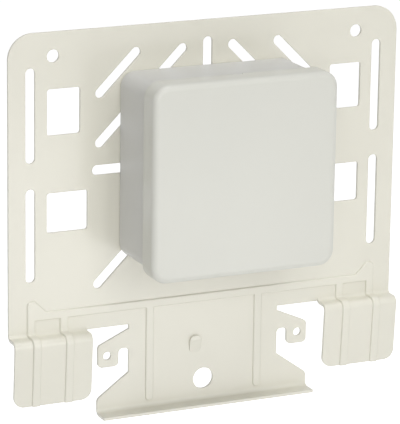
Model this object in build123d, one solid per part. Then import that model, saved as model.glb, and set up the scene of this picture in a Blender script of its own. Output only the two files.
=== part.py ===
# Junction box on a folded sheet mounting plate, in millimetres.
# The plate lies in the XZ plane with its back face at y = 0 and its front face towards -Y.
# The origin is on the back face, at the centre of the slot pattern, behind the middle of the box.
import math
import os

from build123d import *

# Sheet
sheet = 1.25
plate_width = 181.0
plate_top = 60.9
plate_corner = 11.0

# Lower edge: two hooked tabs and a tongue with ears
shoulder_z = -69.6
tab_width = 35.3
tab_step = 7.7
tab_bottom = -98.7
tab_corner = 4.6
tab_lean = 4.0
bend_radius = 1.6
neck_width = 70.6
gap_inner_height = 2.0
gap_outer_height = 8.4
ear_reach = 14.4
hook_slot_length = 7.7
ear_corner = 2.0
gap_corner = 0.9
skirt_corner = 3.0
hook_slot_width = 4.9
hook_slot_top = -80.0
ear_hole_x = 45.4
ear_hole_z = -82.7
ear_hole = 3.7
skirt_top_z = -91.2
skirt_width = 100.0
skirt_side_z = -101.8
tongue_bottom = -109.0
flange_reach = 7.6
foot_gap = 1.6

# Beads pressed into the sheet
bead_width = 3.6
bead_height = 0.8
bead_edge = 0.6
bead_wall_inset = 0.8
cross_bead_z = -61.3
outer_rib_x = 80.5
outer_rib_top = -54.4
inner_rib_x = 65.6
tongue_rib_x = 25.7
tongue_rib_end = -105.2
bead_web = 5.2

# Holes and slots
slot_width = 4.3
side_slot_x = 80.65
side_slot_z = 25.8
side_slot_length = 40.6
upper_window = (14.9, 19.8)
upper_window_at = (65.75, 26.7)
lower_window = (18.5, 17.2)
lower_window_at = (64.05, -16.6)
window_corner = 1.2
screw_hole = 5.5
screw_hole_x = 70.5
screw_hole_z = 50.6
tongue_hole = 9.4
tongue_hole_z = -98.3
corner_slot_length = 27.2
corner_slot_offset = 82.4
long_slot_length = 57.4
radial_slot_length = 36.0
radial_slot_end = 72.6
level_slot_end = 52.8
level_slot_length = 27.0
top_slot_end = 53.5
top_slot_length = 27.0

# Earthing lug lanced out of the tongue
lug_x = -4.2
lug_width = 5.3
lug_top = -78.2
lug_length = 7.8
lug_rise = 1.3
lug_corner = lug_width / 2.4

# Box
box_z = 1.3
lid_side = 84.4
lid_corner = 7.0
box_depth = 40.0
lid_depth = 10.9
lid_edge = 2.6
lid_wall = 2.2
fit_gap = 0.3
base_side = 80.6
base_corner = 6.5
base_wall = 2.0
base_floor = 2.4
base_edge = 0.8
rim_ledge = 0.9
rim_band = 0.4
rim_band_height = 1.6
inner_skirt_depth = 5.0
inner_skirt_wall = 1.4
inner_skirt_root = 0.2
pry_notch_width = 4.4
pry_notch_depth = 1.2
seal_thickness = 0.9

# Fixings of the box: four screws on a square
fixing_pitch = 61.0
fixing_thread = 4.0
fixing_head = 8.0
fixing_head_height = 2.6
fixing_boss = 11.0
fixing_boss_rise = 1.2
fixing_boss_corner = 5.4
fixing_hole_gap = 0.3
fixing_hole_length = 8.0
washer_size = 10.0
washer_thickness = 0.9
nut_across_flats = 7.0
nut_thickness = 3.2
nut_chamfer = 0.5
thread_past_nut = 1.4

# Terminal block
pole_count = 5
pole_pitch = 8.6
block_height = 15.0
block_depth = 12.0
block_foot = 3.0
wire_hole = 3.8
clamp_side = 5.6
clamp_gap = 0.3
clamp_screw = 3.4
clamp_screw_length = 3.6
clamp_screw_bite = 0.6
driver_slot_width = 0.7
driver_slot_depth = 0.8
clamp_row = 3.6
clamp_roof = 1.0
clamp_end_gap = 0.3
chamber_end = 1.5
pole_groove_width = 1.2
pole_groove_depth = 3.0
body_corner = 0.8
pillar_size = 7.0
pillar_height = 6.0
pillar_corner = 1.0
pilot_gap = 0.02
pilot_spare = 0.5
block_screw_thread = 3.0
block_screw_head = 5.6
block_screw_head_height = 2.0
block_screw_length = 8.0
ear_screw_gap = 0.2
foot_corner = 1.5

# Worked out from the sizes above
front_y = -sheet
half_width = plate_width / 2
box_front_y = front_y - box_depth
seam_y = box_front_y + lid_depth
roof_y = box_front_y + lid_wall
rim_y = roof_y + seal_thickness + fit_gap
base_floor_y = front_y - base_floor
inside = base_side - 2 * base_wall
rim_side = base_side - 2 * rim_ledge
band_side = rim_side + 2 * rim_band
long_slot_offset = fixing_pitch
through = 8.0
overlap = 1.0


def along_y(sketch, y, depth):
    """Prism of an XZ sketch from y towards -Y."""
    plane = Plane(origin=(0, y, 0), x_dir=(1, 0, 0), z_dir=(0, -1, 0))
    return extrude(plane * sketch, amount=depth)


def both_sides(x, z, turn, sketch):
    """A sketch at (x, z) turned by an angle, and its mirror about the centre line."""
    left = Pos(-x, z) * Rot(0, 0, turn) * sketch
    right = Pos(x, z) * Rot(0, 0, -turn) * sketch
    return left + right


def slot_at(x, z, turn, length):
    """A pair of mirrored slots, given by the middle of the left one."""
    return both_sides(x, z, turn, SlotOverall(length, slot_width))


def offset_corners(path, rise):
    """Corners of a folded path, raised from the back face towards the front, with mitred corners."""
    runs = [(b - a).normalized() for a, b in zip(path, path[1:])]
    normals = [Vector(d.Y, -d.X) for d in runs]
    moved = [path[0] + normals[0] * rise]
    for corner, before, after in zip(path[1:], normals, normals[1:]):
        mitre = (before + after).normalized()
        moved.append(corner + mitre * (rise / mitre.dot(after)))
    moved.append(path[-1] + normals[-1] * rise)
    return moved


def fold_line(path, bends, rise):
    """The folded path at a rise above the back face. A bend is +1 where the front is inside it, else -1."""
    radii = []
    for bend in bends:
        back_radius = bend_radius + sheet if bend > 0 else bend_radius
        radii.append(back_radius - bend * rise)
    return FilletPolyline(*offset_corners(path, rise), radius=radii)


def folded(path, bends, low, high, x_middle, width):
    """Solid between two rises above the back face of a folded path, with a width along X."""
    first = fold_line(path, bends, low)
    second = fold_line(path, bends, high)
    face = make_face([first, second, Line(first @ 0, second @ 0), Line(first @ 1, second @ 1)])
    plane = Plane(origin=(x_middle - width / 2, 0, 0), x_dir=(0, 1, 0), z_dir=(1, 0, 0))
    return extrude(plane * face, amount=width)


def folded_rib(path, bends, x):
    """A rib that follows the folds, with its outer edges rounded."""
    rib = folded(path, bends, sheet / 2, sheet + bead_height, x, bead_width)
    crown = fold_line(path, bends, sheet + bead_height)
    outer = []
    for edge in rib.edges():
        middle = edge @ 0.5
        on_side = abs(abs(middle.X - x) - bead_width / 2) < 0.01
        if on_side and crown.distance_to(Vector(middle.Y, middle.Z)) < 0.01:
            outer.append(edge)
    return fillet(outer, bead_edge)


def folded_groove(path, bends, x):
    """The hollow behind such a rib."""
    return folded(path, bends, -0.5, bead_height, x, bead_width - 2 * bead_wall_inset)


def bead_sketch(x, z, length, width, turn=0):
    """Outline of a straight bead with rounded ends."""
    return Pos(x, z) * Rot(0, 0, turn) * SlotOverall(length, width)


def bead_network(inset):
    """Outline of all beads on the flat sheet: cross bead, rib tops with their webs, and tongue ribs."""
    width = bead_width - 2 * inset
    sketch = bead_sketch(0, cross_bead_z, 2 * outer_rib_x, width)
    bend_start = shoulder_z + bend_radius
    half = width / 2
    for side in (-1, 1):
        for x, top in ((outer_rib_x, outer_rib_top), (inner_rib_x, cross_bead_z + inset)):
            low = bend_start - bead_width
            sketch += bead_sketch(side * x, (top - inset + low) / 2, top - inset - low, width, 90)
        inner = side * (outer_rib_x - half)
        lowest = cross_bead_z + half
        reach = bead_web - inset
        web = [
            (side * outer_rib_x, cross_bead_z),
            (side * outer_rib_x, lowest + reach),
            (inner, lowest + reach),
            (inner - side * reach, lowest),
            (inner - side * reach, cross_bead_z),
        ]
        sketch += make_face(Polyline(*web, close=True))
        low = tongue_rib_end + inset
        sketch += bead_sketch(side * tongue_rib_x, (cross_bead_z + low) / 2, cross_bead_z - low, width, 90)
    return sketch


def flat_beads():
    """The beads standing proud of the flat sheet, with rounded edges."""
    beads = along_y(bead_network(0), -sheet / 2, sheet / 2 + bead_height)
    beads = fillet(beads.faces().sort_by(Axis.Y)[0].edges(), bead_edge)
    bend_start = shoulder_z + bend_radius
    under_bend = Pos(0, 0, bend_start - plate_width / 2) * Box(2 * plate_width, through, plate_width)
    tongue_zone = Box(neck_width, through, 3 * plate_width)
    return beads - (under_bend - tongue_zone)


def tab_path():
    """Back face of a tab in (y, z): down the plate, forward over the shelf and down the tab."""
    lean = math.tan(math.radians(tab_lean))
    shelf_z = shoulder_z - sheet
    return [
        Vector(0, outer_rib_top),
        Vector(0, shelf_z),
        Vector(-tab_step, shelf_z),
        Vector(-tab_step + (shelf_z - tab_bottom) * lean, tab_bottom),
    ]


def tongue_path():
    """Back face of the tongue in (y, z): down the tongue and forward along its foot."""
    return [
        Vector(0, cross_bead_z),
        Vector(0, tongue_bottom),
        Vector(-sheet - flange_reach, tongue_bottom),
    ]


tab_bends = [1, -1]
tongue_bends = [1]


def plate_outline():
    """Flat part of the plate above the shoulders."""
    height = plate_top - shoulder_z
    face = Pos(0, plate_top - height / 2) * Rectangle(plate_width, height)
    return fillet(face.vertices().group_by(Axis.Y)[-1], plate_corner)


def lower_outline():
    """Outline of the tongue with its ears and skirt, seen from the front."""
    neck = neck_width / 2
    gap_top = shoulder_z
    gap_bottom = gap_top - gap_inner_height
    ear_side = neck + ear_reach
    ear_top = gap_top - gap_outer_height
    slot_out = neck + hook_slot_width
    ear_low = hook_slot_top - hook_slot_length
    skirt = skirt_width / 2
    right = [
        (0, gap_top),
        (neck, gap_top),
        (neck, gap_bottom),
        (ear_side, ear_top),
        (ear_side, ear_low),
        (slot_out, ear_low),
        (slot_out, hook_slot_top),
        (neck, hook_slot_top),
        (neck, skirt_top_z),
        (skirt, skirt_side_z),
        (skirt, tongue_bottom),
        (0, tongue_bottom),
    ]
    half = make_face(Polyline(*right, close=True))

    def at(x, z):
        return half.vertices().sort_by_distance((x, z, 0))[0]

    half = fillet([at(ear_side, ear_top), at(ear_side, ear_low), at(slot_out, ear_low)], ear_corner)
    half = fillet([at(slot_out, hook_slot_top), at(neck, hook_slot_top)], ear_corner)
    half = fillet(at(neck, gap_bottom), gap_corner)
    half = fillet(at(skirt, skirt_side_z), skirt_corner)
    return half + mirror(half, about=Plane.YZ)


def sheet_openings():
    """All holes and slots of the flat sheet, as one cutter."""
    tangent = corner_slot_offset / 2
    long_middle = long_slot_offset / 2
    radial = (radial_slot_end - radial_slot_length / 2) / math.sqrt(2)
    level = level_slot_end - level_slot_length / 2
    cuts = slot_at(side_slot_x, side_slot_z, 90, side_slot_length)
    cuts += slot_at(side_slot_x, -side_slot_z, 90, side_slot_length)
    cuts += slot_at(tangent, tangent, 45, corner_slot_length)
    cuts += slot_at(long_middle, long_middle, 45, long_slot_length)
    cuts += slot_at(radial, -radial, 45, radial_slot_length)
    cuts += slot_at(level, 0, 0, level_slot_length)
    upright = Rot(0, 0, 90) * SlotOverall(top_slot_length, slot_width)
    cuts += Pos(0, top_slot_end - top_slot_length / 2) * upright
    for size, place in ((upper_window, upper_window_at), (lower_window, lower_window_at)):
        cuts += both_sides(*place, 0, RectangleRounded(*size, window_corner))
    cuts += both_sides(screw_hole_x, screw_hole_z, 0, Circle(screw_hole / 2))
    cuts += both_sides(ear_hole_x, ear_hole_z, 0, Circle(ear_hole / 2))
    cuts += Pos(0, tongue_hole_z) * Circle(tongue_hole / 2)
    return along_y(cuts, through / 2, through)


def lug():
    """Small lug lanced out of the tongue, high at its top end and flush at its lower end."""
    shape = RectangleRounded(lug_width, lug_length, lug_corner)
    raised = along_y(Pos(lug_x, lug_top - lug_length / 2) * shape, 0, sheet + lug_rise)
    ramp = [
        (-sheet - lug_rise, lug_top - lug_length / 4),
        (-sheet - lug_rise, lug_top - lug_length),
        (-sheet, lug_top - lug_length),
    ]
    plane = Plane(origin=(lug_x - lug_width, 0, 0), x_dir=(0, 1, 0), z_dir=(1, 0, 0))
    return raised - extrude(plane * make_face(Polyline(*ramp, close=True)), amount=2 * lug_width)


def mounting_plate():
    """The folded sheet with its beads, slots, tabs, ears and foot."""
    plate = along_y(plate_outline(), 0, sheet)
    plate += along_y(lower_outline(), 0, sheet)
    foot = folded(tongue_path(), tongue_bends, 0, sheet, 0, skirt_width)
    foot_start = skirt_side_z - foot_gap
    below = Pos(0, 0, foot_start - plate_width / 2) * Box(plate_width, plate_width, plate_width)
    plate = plate - below + (foot & below)
    tab_middle = half_width - tab_width / 2
    bend_start = shoulder_z + bend_radius
    for side in (-1, 1):
        under = Pos(side * tab_middle, 0, bend_start - tab_width / 2) * Box(tab_width, through, tab_width)
        plate = plate - under
        tab = folded(tab_path(), tab_bends, 0, sheet, side * tab_middle, tab_width)
        ends = tab.edges().filter_by(lambda e: abs(e.length - sheet) < 0.2).group_by(Axis.Z)[0]
        tab = fillet(ends, tab_corner)
        plate += tab
    plate += flat_beads()
    cut = along_y(bead_network(bead_wall_inset), bead_height, 2 * bead_height)
    for side in (-1, 1):
        for x in (outer_rib_x, inner_rib_x):
            path = [Vector(0, bend_start + bend_radius)] + tab_path()[1:]
            plate += folded_rib(path, tab_bends, side * x)
            cut += folded_groove(path, tab_bends, side * x)
    plate += lug()
    return plate - cut - sheet_openings()


def block(width, height, y, depth, corner, x=0, z=0):
    """Prism with rounded vertical corners, from y towards -Y."""
    return along_y(Pos(x, z) * RectangleRounded(width, height, corner), y, depth)


def posts(pitch_x, pitch_z, sketch, y, depth, z=0):
    """Equal prisms on the corners of a rectangle."""
    group = Sketch() + [Pos(x, z + v) * sketch for x in pitch_x for v in pitch_z]
    return along_y(group, y, depth)


fixing_at = (-fixing_pitch / 2, fixing_pitch / 2)
boss_y = base_floor_y - fixing_boss_rise
pillar_y = base_floor_y - pillar_height
block_width = pole_count * pole_pitch
pillar_x = block_width / 2 + pillar_size / 2
pole_x = [(i - (pole_count - 1) / 2) * pole_pitch for i in range(pole_count)]
pillars_at = (-pillar_x, pillar_x)
clamp_y = pillar_y - block_foot - clamp_side / 2 - clamp_roof
chamber_length = block_height - 2 * chamber_end
clamp_length = chamber_length - 2 * clamp_end_gap


def box_base():
    """Open tray with a ledge and a snap band for the lid, fixing bosses and pillars for the terminals."""
    ledge_y = seam_y + fit_gap
    rim_corner = base_corner - rim_ledge
    base = block(base_side, base_side, front_y, front_y - ledge_y, base_corner)
    back_edge = base.faces().sort_by(Axis.Y)[-1].edges()
    base = fillet(back_edge, base_edge)
    base += block(rim_side, rim_side, ledge_y + overlap, ledge_y - rim_y + overlap, rim_corner)
    band = block(band_side, band_side, rim_y + 2 * rim_band_height, rim_band_height, rim_corner + rim_band)
    base += chamfer(band.faces().filter_by(Axis.Y).edges(), rim_band * 0.8)
    base -= block(inside, inside, base_floor_y, base_floor_y - rim_y + base_floor, base_corner - base_wall)
    boss_length = fixing_boss + fixing_hole_length - fixing_thread
    boss = RectangleRounded(fixing_boss, boss_length, fixing_boss_corner)
    half_floor = base_floor / 2
    base += posts(fixing_at, fixing_at, boss, base_floor_y + half_floor, half_floor + fixing_boss_rise)
    hole = Rot(0, 0, 90) * SlotOverall(fixing_hole_length, fixing_thread + 2 * fixing_hole_gap)
    hole_depth = base_floor + fixing_boss_rise + 2 * overlap
    base -= posts(fixing_at, fixing_at, hole, front_y + overlap, hole_depth)
    pillar = RectangleRounded(pillar_size, pillar_size, pillar_corner)
    base += posts(pillars_at, (0,), pillar, base_floor_y + half_floor, pillar_height + half_floor)
    pilot = Circle(block_screw_thread / 2 + pilot_gap)
    pilot_y = pillar_y + block_screw_length - block_foot + pilot_spare
    base -= posts(pillars_at, (0,), pilot, pilot_y, block_screw_length)
    return base


def box_lid():
    """Push-on lid: an outer skirt over the rim, an inner skirt inside it and a pry notch at the top."""
    lid = block(lid_side, lid_side, seam_y, lid_depth, lid_corner)
    lid = fillet(lid.faces().sort_by(Axis.Y)[0].edges(), lid_edge)
    hollow = band_side + 2 * fit_gap
    hollow_corner = base_corner - rim_ledge + rim_band + fit_gap
    lid -= block(hollow, hollow, seam_y + overlap, seam_y - roof_y + overlap, hollow_corner)
    plug_side = inside - 2 * fit_gap
    plug_corner = base_corner - base_wall - fit_gap
    plug_y = roof_y + inner_skirt_depth
    plug = block(plug_side, plug_side, plug_y, inner_skirt_depth + inner_skirt_root, plug_corner)
    bore = plug_side - 2 * inner_skirt_wall
    bore_corner = plug_corner - inner_skirt_wall
    plug -= block(bore, bore, plug_y + overlap, inner_skirt_depth + 2 * overlap, bore_corner)
    lid += plug
    notch = Pos(0, seam_y, lid_side / 2) * Box(pry_notch_width, 2 * pry_notch_depth, 3 * lid_wall)
    return lid - notch


def lid_seal():
    """Flat square seal under the lid, above the rim of the base."""
    hole = inside + fit_gap
    ring = block(rim_side, rim_side, roof_y + seal_thickness, seal_thickness, base_corner - rim_ledge)
    return ring - block(hole, hole, roof_y + 2 * overlap, 4 * overlap, base_corner - base_wall)


def pan_head(diameter, height):
    """Domed screw head standing on the XY plane, with a cross recess."""
    head = Cylinder(diameter / 2, height, align=(Align.CENTER, Align.CENTER, Align.MIN))
    head = fillet(head.edges().group_by(Axis.Z)[-1], height * 0.55)
    cross = Rectangle(diameter * 0.55, diameter * 0.13) + Rectangle(diameter * 0.13, diameter * 0.55)
    return head - Pos(0, 0, height * 0.45) * extrude(cross, amount=height)


def screw(thread, length, head, head_height):
    """Pan-headed screw with its head on the XY plane and its shank below it."""
    shank = Cylinder(thread / 2, length, align=(Align.CENTER, Align.CENTER, Align.MAX))
    shank = chamfer(shank.edges().group_by(Axis.Z)[0], thread * 0.12)
    return pan_head(head, head_height) + shank


def facing_front(solid, x, y, z):
    """Turns a piece that was made along +Z so that it faces -Y at the given point."""
    plane = Plane(origin=(x, y, z), x_dir=(1, 0, 0), z_dir=(0, -1, 0))
    return plane.location * solid


def at_fixings(solid, y):
    """The same piece at the four fixings."""
    return Compound(children=[facing_front(solid, x, y, z) for x in fixing_at for z in fixing_at])


def fixing_screws():
    """Screws from inside the base, through the slots of the plate."""
    grip = sheet + base_floor + fixing_boss_rise + washer_thickness + nut_thickness + thread_past_nut
    return at_fixings(screw(fixing_thread, grip, fixing_head, fixing_head_height), boss_y)


def fixing_washers():
    """Washers behind the plate."""
    hole = Cylinder(fixing_thread / 2 + fixing_hole_gap, 3 * washer_thickness)
    ring = Cylinder(washer_size / 2, washer_thickness) - hole
    return at_fixings(ring, washer_thickness / 2)


def fixing_nuts():
    """Hexagon nuts behind the washers."""
    flat = RegularPolygon(nut_across_flats / 2, 6, major_radius=False)
    nut = extrude(flat, amount=nut_thickness)
    rim = Cylinder(nut_across_flats * 0.56, nut_thickness, align=(Align.CENTER, Align.CENTER, Align.MIN))
    nut = nut & chamfer(rim.edges().filter_by(GeomType.CIRCLE), nut_chamfer)
    nut -= Cylinder(fixing_thread / 2, 3 * nut_thickness)
    return at_fixings(nut, washer_thickness + nut_thickness)


def terminal_block():
    """Moulded strip with one clamp chamber per pole, side walls between them and two fixing ears."""
    body = block(block_width, block_height, pillar_y, block_depth, body_corner)
    body += block(2 * pillar_x + pillar_size, pillar_size + 1.0, pillar_y, block_foot, foot_corner)
    face_y = pillar_y - block_depth
    groove = Box(pole_groove_width, 2 * pole_groove_depth, 2 * block_height)
    for x in pole_x[:-1]:
        body -= Pos(x + pole_pitch / 2, face_y, 0) * groove
    chamber_side = clamp_side + 2 * clamp_gap
    for x in pole_x:
        body -= Pos(x, clamp_y, 0) * Box(chamber_side, chamber_side, chamber_length)
        body -= Pos(x, clamp_y, 0) * Cylinder(wire_hole / 2, 2 * block_height)
        for z in (-clamp_row, clamp_row):
            driver_hole = Cylinder(clamp_screw / 2 + clamp_gap, block_depth)
            body -= Pos(x, face_y, z) * Rot(90, 0, 0) * driver_hole
    ear_screw_hole = Circle(block_screw_thread / 2 + ear_screw_gap)
    body -= posts(pillars_at, (0,), ear_screw_hole, pillar_y + overlap, block_foot + 2 * overlap)
    return body


def terminal_clamps():
    """Brass clamp bodies, one per pole, with a wire bore along Z."""
    clamps = []
    for x in pole_x:
        wire_bore = Cylinder(wire_hole / 2, 2 * block_height)
        clamp = Box(clamp_side, clamp_side, clamp_length) - wire_bore
        for z in (-clamp_row, clamp_row):
            screw_bore = Cylinder(clamp_screw / 2, clamp_side)
            clamp -= Pos(0, -clamp_side / 2, z) * Rot(90, 0, 0) * screw_bore
        clamps.append(Pos(x, clamp_y, 0) * clamp)
    return Compound(children=clamps)


def clamp_screws():
    """Headless clamp screws, two per pole, slotted at their outer end."""
    pin = Cylinder(clamp_screw / 2, clamp_screw_length, align=(Align.CENTER, Align.CENTER, Align.MIN))
    slot = Box(clamp_screw * 1.2, driver_slot_width, 2 * driver_slot_depth)
    pin -= Pos(0, 0, clamp_screw_length) * slot
    tip_y = clamp_y - wire_hole / 2 + clamp_screw_bite
    places = [(x, z) for x in pole_x for z in (-clamp_row, clamp_row)]
    return Compound(children=[facing_front(pin, x, tip_y, z) for x, z in places])


def block_screws():
    """Two screws that hold the terminal block on its pillars."""
    one = screw(block_screw_thread, block_screw_length, block_screw_head, block_screw_head_height)
    y = pillar_y - block_foot
    return Compound(children=[facing_front(one, x, y, 0) for x in pillars_at])


on_plate = {
    "mounting_plate": mounting_plate,
    "fixing_screws": fixing_screws,
    "fixing_washers": fixing_washers,
    "fixing_nuts": fixing_nuts,
}
in_box = {
    "box_base": box_base,
    "box_lid": box_lid,
    "lid_seal": lid_seal,
    "terminal_block": terminal_block,
    "terminal_clamps": terminal_clamps,
    "clamp_screws": clamp_screws,
    "block_screws": block_screws,
}

os.makedirs("parts", exist_ok=True)
for name, make in on_plate.items():
    export_step(make(), f"parts/{name}.step")
for name, make in in_box.items():
    moved = [Pos(0, 0, box_z) * solid for solid in make().solids()]
    export_step(Compound(children=moved), f"parts/{name}.step")
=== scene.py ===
import math

import bpy
from mathutils import Matrix, Vector


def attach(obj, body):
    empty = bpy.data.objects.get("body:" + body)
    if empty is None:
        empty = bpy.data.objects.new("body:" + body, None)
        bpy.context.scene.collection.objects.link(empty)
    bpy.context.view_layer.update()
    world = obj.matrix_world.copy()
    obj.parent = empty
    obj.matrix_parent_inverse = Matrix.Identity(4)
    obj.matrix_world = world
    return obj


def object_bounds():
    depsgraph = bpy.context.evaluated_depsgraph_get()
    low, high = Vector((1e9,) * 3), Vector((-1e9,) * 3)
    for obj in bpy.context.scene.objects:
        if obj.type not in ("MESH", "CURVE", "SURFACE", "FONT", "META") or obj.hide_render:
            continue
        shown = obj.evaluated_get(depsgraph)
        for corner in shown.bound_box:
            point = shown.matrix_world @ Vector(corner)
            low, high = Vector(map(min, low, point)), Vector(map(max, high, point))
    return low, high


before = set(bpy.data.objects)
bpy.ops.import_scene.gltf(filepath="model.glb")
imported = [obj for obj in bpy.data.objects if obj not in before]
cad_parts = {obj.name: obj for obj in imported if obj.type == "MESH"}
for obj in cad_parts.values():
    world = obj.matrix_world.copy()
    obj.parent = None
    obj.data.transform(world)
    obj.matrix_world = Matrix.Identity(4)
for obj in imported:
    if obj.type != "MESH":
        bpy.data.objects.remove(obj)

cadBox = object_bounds()
print("stage: frame loaded")


def clearSelection():
    for item in bpy.context.selected_objects:
        item.select_set(False)


clearSelection()


# a new material with its nodes and its shader
def startMaterial(name):
    made = bpy.data.materials.new(name)
    made.use_nodes = True
    tree = made.node_tree
    shader = tree.nodes["Principled BSDF"]
    return made, tree, shader


# a node whose values go to its sockets where it has them, else to its settings
def addNode(tree, kind, **values):
    node = tree.nodes.new(kind)
    for key, value in values.items():
        if key in node.inputs:
            node.inputs[key].default_value = value
        else:
            setattr(node, key, value)
    return node


# object coordinates, so that a pattern stays on its piece
def objectCoordinates(tree, stretch=(1, 1, 1)):
    coordinates = addNode(tree, "ShaderNodeTexCoord")
    mapping = addNode(tree, "ShaderNodeMapping", Scale=stretch)
    tree.links.new(coordinates.outputs["Object"], mapping.inputs["Vector"])
    return mapping.outputs["Vector"]


# how fine the clouds of tone and the grain are in every finish
textureLook = {
    "cloudDetail": 3.0,
    "cloudRoughness": 0.5,
    "grainDetail": 4.0,
    "grainRoughness": 0.6,
    "rampStart": 0.3,
    "rampStop": 0.7,
    "edgeSamples": 6,
}


def cloudAt(tree, where, scale):
    cloud = addNode(tree, "ShaderNodeTexNoise", Scale=scale)
    cloud.inputs["Detail"].default_value = textureLook["cloudDetail"]
    cloud.inputs["Roughness"].default_value = textureLook["cloudRoughness"]
    tree.links.new(where, cloud.inputs["Vector"])
    return cloud.outputs["Fac"]


def grainAt(tree, where, scale):
    grain = addNode(tree, "ShaderNodeTexNoise", Scale=scale)
    grain.inputs["Detail"].default_value = textureLook["grainDetail"]
    grain.inputs["Roughness"].default_value = textureLook["grainRoughness"]
    tree.links.new(where, grain.inputs["Vector"])
    return grain.outputs["Fac"]


# base colour between two tones
def setTone(tree, shader, factor, look):
    ramp = addNode(tree, "ShaderNodeValToRGB")
    low, high = ramp.color_ramp.elements
    low.position = textureLook["rampStart"]
    high.position = textureLook["rampStop"]
    low.color = (*look["colourLow"], 1)
    high.color = (*look["colourHigh"], 1)
    tree.links.new(factor, ramp.inputs["Fac"])
    tree.links.new(ramp.outputs["Color"], shader.inputs["Base Color"])


def setGloss(tree, shader, factor, look):
    span = addNode(tree, "ShaderNodeMapRange")
    span.inputs["To Min"].default_value = look["roughLow"]
    span.inputs["To Max"].default_value = look["roughHigh"]
    tree.links.new(factor, span.inputs["Value"])
    tree.links.new(span.outputs["Result"], shader.inputs["Roughness"])


def grainBump(tree, shader, height, look):
    bump = addNode(tree, "ShaderNodeBump", Strength=look["grainStrength"], Distance=look["grainDepth"])
    tree.links.new(height, bump.inputs["Height"])
    tree.links.new(bump.outputs["Normal"], shader.inputs["Normal"])
    return bump


# a painted or moulded skin: two close tones, a fine texture and edges that catch the light
def skinMaterial(name, look):
    made, tree, shader = startMaterial(name)
    where = objectCoordinates(tree)
    setTone(tree, shader, cloudAt(tree, where, look["cloudScale"]), look)
    grain = grainAt(tree, where, look["grainScale"])
    setGloss(tree, shader, grain, look)
    bump = grainBump(tree, shader, grain, look)
    edge = addNode(tree, "ShaderNodeBevel", samples=textureLook["edgeSamples"], Radius=look["edgeRadius"])
    tree.links.new(edge.outputs["Normal"], bump.inputs["Normal"])
    shader.inputs["IOR"].default_value = look["ior"]
    shader.inputs["Coat Weight"].default_value = look["coat"]
    shader.inputs["Coat Roughness"].default_value = look["coatRough"]
    return made


# bare or plated metal, brushed along one axis by the stretch of its grain
def metalMaterial(name, look):
    made, tree, shader = startMaterial(name)
    where = objectCoordinates(tree, look["stretch"])
    brushed = grainAt(tree, where, look["grainScale"])
    setTone(tree, shader, brushed, look)
    setGloss(tree, shader, brushed, look)
    grainBump(tree, shader, brushed, look)
    shader.inputs["Metallic"].default_value = 1.0
    return made


def dress(nodeName, material):
    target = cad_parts[nodeName]
    target.data.materials.clear()
    target.data.materials.append(material)


# cream powder coat of the plate
plateLook = {
    "colourLow": (0.7, 0.683, 0.594),
    "colourHigh": (0.73, 0.713, 0.624),
    "cloudScale": 14.0,
    "grainScale": 2600.0,
    "grainStrength": 0.12,
    "grainDepth": 0.00006,
    "roughLow": 0.34,
    "roughHigh": 0.44,
    "edgeRadius": 0.0004,
    "ior": 1.5,
    "coat": 0.6,
    "coatRough": 0.13,
}
dress("mounting_plate", skinMaterial("creamPowderCoat", plateLook))

# pale moulded plastic of the lid
lidLook = {
    "colourLow": (0.607, 0.607, 0.555),
    "colourHigh": (0.627, 0.627, 0.573),
    "cloudScale": 9.0,
    "grainScale": 3400.0,
    "grainStrength": 0.08,
    "grainDepth": 0.00004,
    "roughLow": 0.34,
    "roughHigh": 0.42,
    "edgeRadius": 0.0003,
    "ior": 1.48,
    "coat": 0.45,
    "coatRough": 0.26,
}
dress("box_lid", skinMaterial("lidPlastic", lidLook))

# the base: the same plastic, a little greyer and more matt
baseLook = dict(
    lidLook,
    colourLow=(0.6, 0.598, 0.575),
    colourHigh=(0.62, 0.618, 0.595),
    roughLow=0.42,
    roughHigh=0.52,
    coat=0.05,
)
dress("box_base", skinMaterial("basePlastic", baseLook))

# soft dark seal
sealLook = dict(
    lidLook,
    colourLow=(0.035, 0.035, 0.036),
    colourHigh=(0.05, 0.05, 0.052),
    roughLow=0.65,
    roughHigh=0.8,
)
dress("lid_seal", skinMaterial("sealRubber", sealLook))

# natural polyamide of the terminal strip
stripLook = dict(
    lidLook,
    colourLow=(0.66, 0.65, 0.6),
    colourHigh=(0.7, 0.69, 0.64),
    roughLow=0.35,
    roughHigh=0.5,
)
dress("terminal_block", skinMaterial("stripPlastic", stripLook))

# zinc plate of the screws, washers and nuts
zincLook = {
    "colourLow": (0.56, 0.58, 0.6),
    "colourHigh": (0.68, 0.69, 0.7),
    "stretch": (1.0, 4.0, 1.0),
    "grainScale": 900.0,
    "grainStrength": 0.15,
    "grainDepth": 0.00003,
    "roughLow": 0.22,
    "roughHigh": 0.38,
}
zincPlate = metalMaterial("zincPlate", zincLook)
for nodeName in ("fixing_screws", "fixing_washers", "fixing_nuts", "clamp_screws", "block_screws"):
    dress(nodeName, zincPlate)

# plain brass of the clamps
brassLook = dict(zincLook, colourLow=(0.68, 0.46, 0.19), colourHigh=(0.8, 0.58, 0.28))
dress("terminal_clamps", metalMaterial("brass", brassLook))
print("stage: finishes on the frame")

# rolled thread on the free end of each fixing screw, behind its nut
threadLook = {
    "corners": 4,  # of the ridge's section
    "ridge": 0.0003,
    "centre": 0.00191,  # of the section, out from the screw's axis
    "pitch": 0.0007,
    "turns": 1,
    "steps": 32,
    "start": 0.00435,  # behind the plate's back face
    "spread": 0.0305,  # half the pitch of the four screws
    "smoothAngle": 0.6,
}


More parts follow.
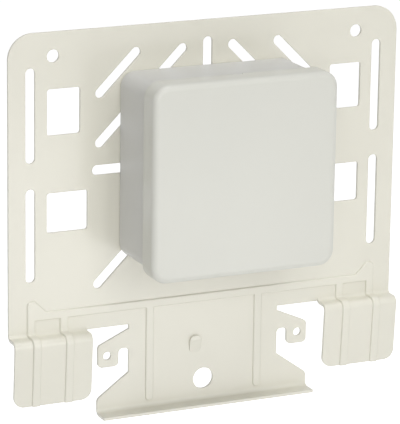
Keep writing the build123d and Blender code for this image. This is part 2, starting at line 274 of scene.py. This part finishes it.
# one ridge wound round a screw's axis at the origin
def windThread(look):
    centre = (look["centre"], 0, 0)
    bpy.ops.mesh.primitive_circle_add(vertices=look["corners"], radius=look["ridge"], location=centre)
    thread = bpy.context.object
    bpy.ops.object.transform_apply(location=True, rotation=True, scale=True)
    winding = thread.modifiers.new("winding", "SCREW")
    winding.axis = "Y"
    winding.screw_offset = look["pitch"]
    winding.iterations = look["turns"]
    winding.steps = look["steps"]
    winding.render_steps = look["steps"]
    bpy.ops.object.modifier_apply(modifier="winding")
    bpy.ops.object.mode_set(mode="EDIT")
    bpy.ops.mesh.select_all(action="SELECT")
    bpy.ops.mesh.fill_holes(sides=look["corners"])
    bpy.ops.mesh.normals_make_consistent(inside=False)
    bpy.ops.object.mode_set(mode="OBJECT")
    bpy.ops.object.shade_smooth_by_angle(angle=look["smoothAngle"])
    thread.data.materials.append(zincPlate)
    clearSelection()
    return thread


# a copy with its own mesh, on one of the four screws
def copyThread(wound, name, x, z):
    wound.select_set(True)
    bpy.context.view_layer.objects.active = wound
    bpy.ops.object.duplicate()
    thread = bpy.context.object
    thread.name = name
    bpy.ops.transform.translate(value=(x, threadLook["start"], z))
    bpy.ops.object.transform_apply(location=True, rotation=True, scale=True)
    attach(thread, "plate")
    clearSelection()


wound = windThread(threadLook)
for side, column in ((-1, "Left"), (1, "Right")):
    for level, row in ((-1, "Lower"), (1, "Upper")):
        x = side * threadLook["spread"]
        z = level * threadLook["spread"]
        copyThread(wound, f"thread{row}{column}", x, z)
bpy.data.objects.remove(wound)
print("stage: screw threads")


# 1 for the kinds of ray that are named, else 0
def onlyFor(tree, *rays):
    path = addNode(tree, "ShaderNodeLightPath")
    factor = path.outputs[rays[0]]
    for ray in rays[1:]:
        either = addNode(tree, "ShaderNodeMath", operation="MAXIMUM")
        tree.links.new(factor, either.inputs[0])
        tree.links.new(path.outputs[ray], either.inputs[1])
        factor = either.outputs[0]
    return factor


def mixShaders(tree, factor, first, second):
    mix = addNode(tree, "ShaderNodeMixShader")
    for socket, source in zip(mix.inputs, (factor, first.outputs[0], second.outputs[0])):
        tree.links.new(source, socket)
    return mix


# pale floor that keeps the object's shadow and looks white without lighting the object
floorLook = {
    "size": 6.0,
    "drop": 0.13,
    "colour": (0.93, 0.93, 0.93, 1),
    "roughness": 0.9,
    "glow": 0.62,
}


def makeFloor(look):
    height = cadBox[0][2] - look["drop"]
    bpy.ops.mesh.primitive_plane_add(size=look["size"], location=(0, 0, height))
    floor = bpy.context.object
    floor.name = "floor"
    made, tree, shader = startMaterial("floorPaint")
    shader.inputs["Base Color"].default_value = look["colour"]
    shader.inputs["Roughness"].default_value = look["roughness"]
    glow = addNode(tree, "ShaderNodeEmission", Strength=look["glow"])
    noGlow = addNode(tree, "ShaderNodeEmission", Strength=0.0)
    added = mixShaders(tree, onlyFor(tree, "Is Camera Ray", "Is Glossy Ray"), noGlow, glow)
    both = addNode(tree, "ShaderNodeAddShader")
    tree.links.new(shader.outputs[0], both.inputs[0])
    tree.links.new(added.outputs[0], both.inputs[1])
    tree.links.new(both.outputs[0], tree.nodes["Material Output"].inputs["Surface"])
    floor.data.materials.append(made)
    clearSelection()


makeFloor(floorLook)

# world: white to the camera and in gloss, weaker as light
worldLook = {
    "colour": (1, 1, 1, 1),
    "light": 0.31,
    "seen": 1.0,
}


def makeWorld(look):
    world = bpy.data.worlds.new("studio")
    bpy.context.scene.world = world
    world.use_nodes = True
    tree = world.node_tree
    soft = tree.nodes["Background"]
    soft.inputs["Color"].default_value = look["colour"]
    soft.inputs["Strength"].default_value = look["light"]
    white = addNode(tree, "ShaderNodeBackground", Color=look["colour"], Strength=look["seen"])
    seen = onlyFor(tree, "Is Camera Ray", "Is Glossy Ray", "Is Transmission Ray")
    mix = mixShaders(tree, seen, soft, white)
    tree.links.new(mix.outputs[0], tree.nodes["World Output"].inputs["Surface"])


makeWorld(worldLook)

# square area lamps, all turned to the origin behind the middle of the box
lampLooks = [
    {"name": "frontLamp", "at": (-0.55, -1.6, 0.46), "size": 0.9, "power": 7.2},
    {"name": "keyLamp", "at": (0.3, -1.65, 0.5), "size": 0.5, "power": 4.0},
    {"name": "topLamp", "at": (0.1, -0.4, 1.6), "size": 0.8, "power": 11.0},
    {"name": "lowLamp", "at": (0.08, -0.28, -0.12), "size": 0.14, "power": 0.06},
    {"name": "sideLamp", "at": (-1.36, -0.63, 0.35), "size": 0.4, "power": 1.0},
    {"name": "sparkLamp", "at": (0.1, -1.5, 0.9), "size": 0.05, "power": 1.2},
]


def makeLamp(look):
    lamp = bpy.data.lights.new(look["name"], "AREA")
    lamp.shape = "SQUARE"
    lamp.size = look["size"]
    lamp.energy = look["power"]
    holder = bpy.data.objects.new(look["name"], lamp)
    bpy.context.collection.objects.link(holder)
    holder.location = look["at"]
    towardsOrigin = -Vector(look["at"])
    holder.rotation_euler = towardsOrigin.to_track_quat("-Z", "Y").to_euler()


for lampLook in lampLooks:
    makeLamp(lampLook)
print("stage: floor, world and lamps")

# camera, from the photograph's lines: left of the plate and above it
cameraLook = {
    "azimuth": -25.01,
    "elevation": 15.35,
    "roll": 0.81,
    "distance": 1.2985,
    "target": (-0.00197, 0.0, -0.02353),
    "focalPixels": 3026.8,
    "imageHeight": 424,  # the longer side, which the sensor's width spans
    "sensor": 36.0,
}


def makeCamera(look):
    camera = bpy.data.cameras.new("camera")
    camera.sensor_width = look["sensor"]
    camera.lens = look["focalPixels"] / look["imageHeight"] * look["sensor"]
    holder = bpy.data.objects.new("camera", camera)
    bpy.context.collection.objects.link(holder)
    turn = math.radians(look["azimuth"])
    tilt = math.radians(look["elevation"])
    roll = math.radians(look["roll"])
    back = Vector((math.sin(turn) * math.cos(tilt), -math.cos(turn) * math.cos(tilt), math.sin(tilt)))
    right = Vector((0, 0, 1)).cross(back).normalized()
    up = back.cross(right)
    rolledRight = right * math.cos(roll) + up * math.sin(roll)
    rolledUp = up * math.cos(roll) - right * math.sin(roll)
    place = Matrix((rolledRight, rolledUp, back)).transposed().to_4x4()
    place.translation = Vector(look["target"]) + back * look["distance"]
    holder.matrix_world = place
    bpy.context.scene.camera = holder


makeCamera(cameraLook)
bpy.context.scene.view_settings.view_transform = "Standard"
print("stage: camera")
